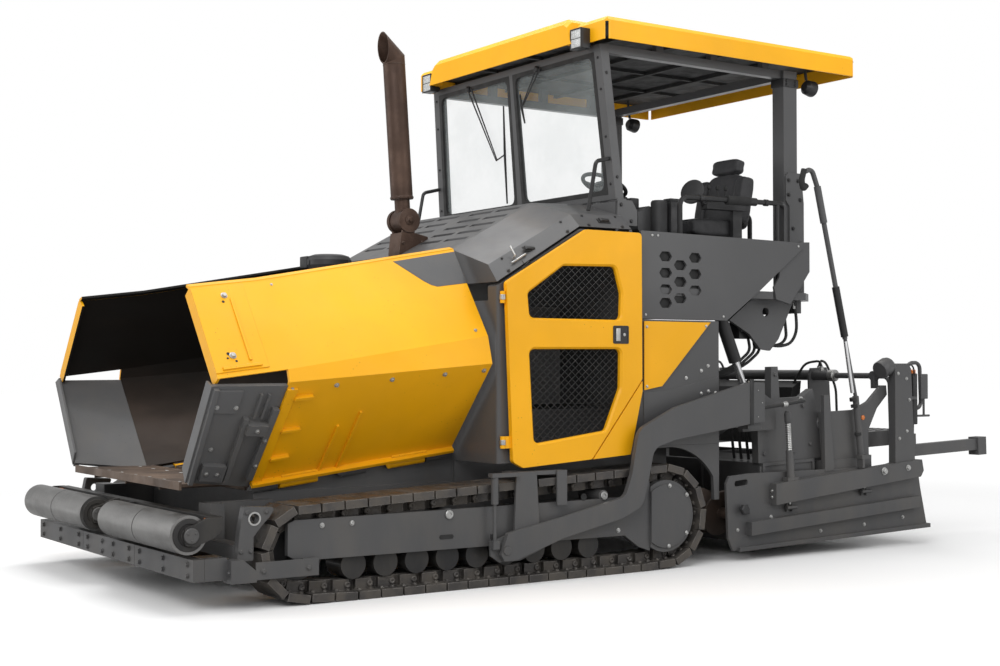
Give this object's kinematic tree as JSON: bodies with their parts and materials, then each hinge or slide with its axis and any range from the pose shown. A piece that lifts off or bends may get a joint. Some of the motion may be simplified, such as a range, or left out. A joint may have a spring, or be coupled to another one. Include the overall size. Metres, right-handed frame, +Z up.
{
  "type": "tracked asphalt paver",
  "caption": "Asphalt paver on crawler tracks with a folding hopper, operator platform under a canopy, rear augers and a floating extending screed.",
  "frame": {"origin": "on the ground, at the middle of the machine's length and width", "axes": "+Z up, +Y towards the screed at the rear, +X towards the machine's left side"},
  "size_m": [2.672, 6.47, 3.462],
  "materials": {
    "yellow_paint": "gloss machine enamel",
    "grey_paint": "semi-gloss dark grey enamel",
    "black_paint": "satin black enamel",
    "worn_steel": "bare steel browned by hot asphalt",
    "roller_steel": "turned and scuffed",
    "chrome": "polished hard chrome",
    "track_steel": "forged steel, worn dull",
    "exhaust_steel": "heat-browned steel",
    "glass": "clear",
    "seat_cover": "grained black vinyl",
    "black_plastic": "grained",
    "engine_paint": "matt primer"
  },
  "bodies": {
    "root": {"track_left": "track_steel", "track_right": "track_steel", "track_wheels_left": "grey_paint", "track_wheels_right": "grey_paint", "track_frame_left": "grey_paint", "track_frame_right": "grey_paint", "quarter_panel_left": "yellow_paint", "quarter_panel_right": "yellow_paint", "side_panel_left": "grey_paint", "side_panel_right": "grey_paint", "tow_plate_left": "grey_paint", "tow_plate_right": "grey_paint", "chassis": "grey_paint", "conveyor": "worn_steel", "engine": "engine_paint", "bumper": "grey_paint", "body_shell": "grey_paint", "hood": "grey_paint", "platform": "grey_paint", "canopy_posts": "grey_paint", "windscreen": "glass", "canopy_roof": "yellow_paint", "canopy_ceiling": "black_paint", "handrails": "black_paint", "console": "black_paint", "seats": "seat_cover", "seat_bases": "black_plastic", "exhaust_base": "exhaust_steel", "air_cleaner": "black_plastic", "tow_points": "grey_paint", "auger_carrier": "grey_paint"},
    "wing_left": {"wing_left": "yellow_paint", "wing_flap_left": "grey_paint"},
    "wing_right": {"wing_right": "yellow_paint", "wing_flap_right": "grey_paint"},
    "apron": {"apron": "worn_steel"},
    "push_beam": {"push_beam": "black_paint"},
    "push_roller_left": {"push_roller_left": "roller_steel"},
    "push_roller_right": {"push_roller_right": "roller_steel"},
    "service_door_left": {"service_door_left": "yellow_paint", "door_mesh_left": "black_paint"},
    "service_door_right": {"service_door_right": "yellow_paint", "door_mesh_right": "black_paint"},
    "steering_wheel": {"steering_wheel": "black_plastic"},
    "exhaust_stack": {"exhaust_stack": "exhaust_steel"},
    "screed": {"tow_arm_left": "grey_paint", "tow_arm_right": "grey_paint", "screed_main": "grey_paint", "walkway": "grey_paint"},
    "extension_left": {"extension_left": "grey_paint", "end_plate_left": "grey_paint", "mast_left": "grey_paint"},
    "extension_right": {"extension_right": "grey_paint", "end_plate_right": "grey_paint", "mast_right": "grey_paint"},
    "auger_left": {"auger_left": "worn_steel"},
    "auger_right": {"auger_right": "worn_steel"},
    "lift_barrels": {"lift_barrels": "black_paint"},
    "lift_rods": {"lift_rods": "chrome"}
  },
  "joints": [
    {"name": "wing_left_fold", "type": "hinge", "parent": "root", "child": "wing_left", "pos_m": [0.75, -2.6, 0.578], "axis": [0, 0.9931, 0.1175], "range_deg": [0, 38]},
    {"name": "wing_right_fold", "type": "hinge", "parent": "root", "child": "wing_right", "pos_m": [-0.75, -2.6, 0.578], "axis": [0, -0.9931, -0.1175], "range_deg": [0, 38]},
    {"name": "apron_fold", "type": "hinge", "parent": "root", "child": "apron", "pos_m": [0, -2.6, 0.62], "axis": [-1, 0, 0], "range_deg": [0, 75]},
    {"name": "push_beam_swing", "type": "hinge", "parent": "root", "child": "push_beam", "pos_m": [0, -2.91, 0.4], "axis": [0, 0, 1], "range_deg": [-3, 3]},
    {"name": "push_roller_left_spin", "type": "hinge", "parent": "push_beam", "child": "push_roller_left", "pos_m": [0.68, -3.135, 0.4], "axis": [1, 0, 0], "continuous": true},
    {"name": "push_roller_right_spin", "type": "hinge", "parent": "push_beam", "child": "push_roller_right", "pos_m": [-0.68, -3.135, 0.4], "axis": [1, 0, 0], "continuous": true},
    {"name": "service_door_left_swing", "type": "hinge", "parent": "root", "child": "service_door_left", "pos_m": [1.226, -1.222, 1.2], "axis": [0, 0, -1], "range_deg": [0, 85]},
    {"name": "service_door_right_swing", "type": "hinge", "parent": "root", "child": "service_door_right", "pos_m": [-1.226, -1.222, 1.2], "axis": [0, 0, 1], "range_deg": [0, 85]},
    {"name": "steering", "type": "hinge", "parent": "root", "child": "steering_wheel", "pos_m": [0.6, 0.02, 2.45], "axis": [0, 0.4226, 0.9063], "range_deg": [-150, 150]},
    {"name": "exhaust_fold", "type": "hinge", "parent": "root", "child": "exhaust_stack", "pos_m": [0, -1.165, 2.196], "axis": [1, 0, 0], "range_deg": [0, 86]},
    {"name": "screed_lift", "type": "hinge", "parent": "root", "child": "screed", "pos_m": [0, -1.262, 0.205], "axis": [1, 0, 0], "range_deg": [-2, 5.5]},
    {"name": "extension_left_slide", "type": "slide", "parent": "screed", "child": "extension_left", "axis": [1, 0, 0], "range_m": [0, 1.2]},
    {"name": "extension_right_slide", "type": "slide", "parent": "screed", "child": "extension_right", "axis": [-1, 0, 0], "range_m": [0, 1.2]},
    {"name": "auger_left_spin", "type": "hinge", "parent": "root", "child": "auger_left", "pos_m": [0.6, 0.604, 0.3], "axis": [1, 0, 0], "continuous": true},
    {"name": "auger_right_spin", "type": "hinge", "parent": "root", "child": "auger_right", "pos_m": [-0.6, 0.604, 0.3], "axis": [1, 0, 0], "continuous": true},
    {"name": "lift_barrel_swing", "type": "hinge", "parent": "root", "child": "lift_barrels", "pos_m": [0, 0.54, 1.64], "axis": [1, 0, 0], "range_deg": [-3, 3]},
    {"name": "lift_rod_slide", "type": "slide", "parent": "lift_barrels", "child": "lift_rods", "axis": [0, 0.4091, -0.9125], "range_m": [-0.26, 0.1]}
  ],
  "couplings": [
    {"joint": "lift_barrel_swing", "follows": "screed_lift", "ratio": -0.18},
    {"joint": "lift_rod_slide", "follows": "screed_lift", "m_per_rad": -2.16}
  ]
}
